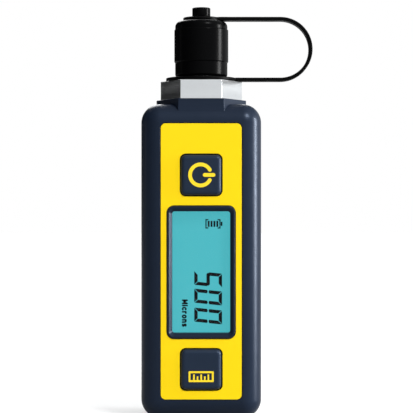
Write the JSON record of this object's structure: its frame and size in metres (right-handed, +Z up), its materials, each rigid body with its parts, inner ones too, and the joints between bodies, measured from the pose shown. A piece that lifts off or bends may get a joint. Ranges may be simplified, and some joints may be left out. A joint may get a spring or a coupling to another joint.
{
  "type": "digital vacuum gauge",
  "caption": "Pocket digital vacuum gauge: rounded plastic body with two keys and a sideways display, metal hexagon and male flare under a strapped screw cap.",
  "frame": {"origin": "on the flat base of the body, under the axis of the fitting", "axes": "+Z up along the fitting's axis, -Y out of the face with the display, +X to the reader's right, where the strap hangs"},
  "size_m": [0.046, 0.025, 0.1102],
  "materials": {
    "navy_plastic": "moulded, satin",
    "key_plastic": "moulded, satin",
    "overlay_film": "printed film, satin",
    "cap_plastic": "moulded, semi-gloss",
    "strap_rubber": "moulded, satin",
    "seal_rubber": "moulded, matt",
    "nickel_plate": "nickel plated, satin",
    "screw_steel": "zinc plated",
    "tinned_metal": "tinned",
    "clear_window": "clear, polished",
    "display_glass": "liquid-crystal glass",
    "light_guide": "diffusing",
    "board_laminate": "glass-fibre laminate",
    "black_moulding": "moulded, matt",
    "header_glass": "fused glass",
    "cell_jacket": "plain jacket"
  },
  "bodies": {
    "root": {"front_housing": "navy_plastic", "rear_housing": "navy_plastic", "face_overlay": "overlay_film", "strap_loop": "strap_rubber", "strap_lower_ring": "strap_rubber", "housing_seal": "seal_rubber", "power_key_skirt": "seal_rubber", "units_key_skirt": "seal_rubber", "display_connector": "seal_rubber", "battery_door_seal": "seal_rubber", "fitting_seal": "seal_rubber", "sensor_fitting": "nickel_plate", "fitting_nut": "nickel_plate", "housing_screw_1": "screw_steel", "housing_screw_2": "screw_steel", "housing_screw_3": "screw_steel", "housing_screw_4": "screw_steel", "left_spring": "tinned_metal", "right_spring": "tinned_metal", "bridge_contact": "tinned_metal", "left_contact": "tinned_metal", "right_contact": "tinned_metal", "crystal": "tinned_metal", "radio_module": "tinned_metal", "sensor_flex": "tinned_metal", "sensor_pin_1": "tinned_metal", "sensor_pin_2": "tinned_metal", "sensor_pin_3": "tinned_metal", "sensor_pin_4": "tinned_metal", "sensor_element": "tinned_metal", "display_window": "clear_window", "display_panel": "display_glass", "display_backlight": "light_guide", "main_board": "board_laminate", "sensor_board": "board_laminate", "processor_chip": "black_moulding", "voltage_regulator": "black_moulding", "battery_tray": "black_moulding", "power_switch": "black_moulding", "units_switch": "black_moulding", "sensor_header": "header_glass", "battery_cell_left": "cell_jacket", "battery_cell_right": "cell_jacket"},
    "power_button": {"power_button": "key_plastic", "power_plunger": "black_moulding"},
    "units_button": {"units_button": "key_plastic", "units_plunger": "black_moulding"},
    "cap_carrier": {"strap_upper_ring": "strap_rubber"},
    "cap": {"flare_cap": "cap_plastic", "cap_gasket": "seal_rubber"},
    "battery_door": {"battery_door": "navy_plastic"},
    "screw_washer": {"door_screw_washer": "screw_steel"},
    "door_screw": {"door_screw": "screw_steel"}
  },
  "joints": [
    {"name": "power_button_press", "type": "slide", "parent": "root", "child": "power_button", "axis": [0, 1, 0], "range_m": [0, 0.0006], "stiffness_N_per_m": 1500},
    {"name": "units_button_press", "type": "slide", "parent": "root", "child": "units_button", "axis": [0, 1, 0], "range_m": [0, 0.0006], "stiffness_N_per_m": 1500},
    {"name": "cap_lift", "type": "slide", "parent": "root", "child": "cap_carrier", "axis": [0, 0, 1], "range_m": [0, 0.00889], "deforming": ["strap_loop"]},
    {"name": "cap_turn", "type": "hinge", "parent": "cap_carrier", "child": "cap", "pos_m": [0, 0, 0.0914], "axis": [0, 0, 1], "range_deg": [0, 2520]},
    {"name": "battery_door_pull", "type": "slide", "parent": "root", "child": "battery_door", "axis": [0, 1, 0], "range_m": [0, 0.014]},
    {"name": "door_screw_rise", "type": "slide", "parent": "battery_door", "child": "screw_washer", "axis": [0, 1, 0], "range_m": [0, 0.0018]},
    {"name": "door_screw_turn", "type": "hinge", "parent": "screw_washer", "child": "door_screw", "pos_m": [0, 0.0053, 0.0637], "axis": [0, 1, 0], "range_deg": [0, 1440]}
  ],
  "couplings": [
    {"joint": "cap_turn", "follows": "cap_lift", "rad_per_m": 4947.4},
    {"joint": "door_screw_turn", "follows": "door_screw_rise", "rad_per_m": 13963}
  ]
}
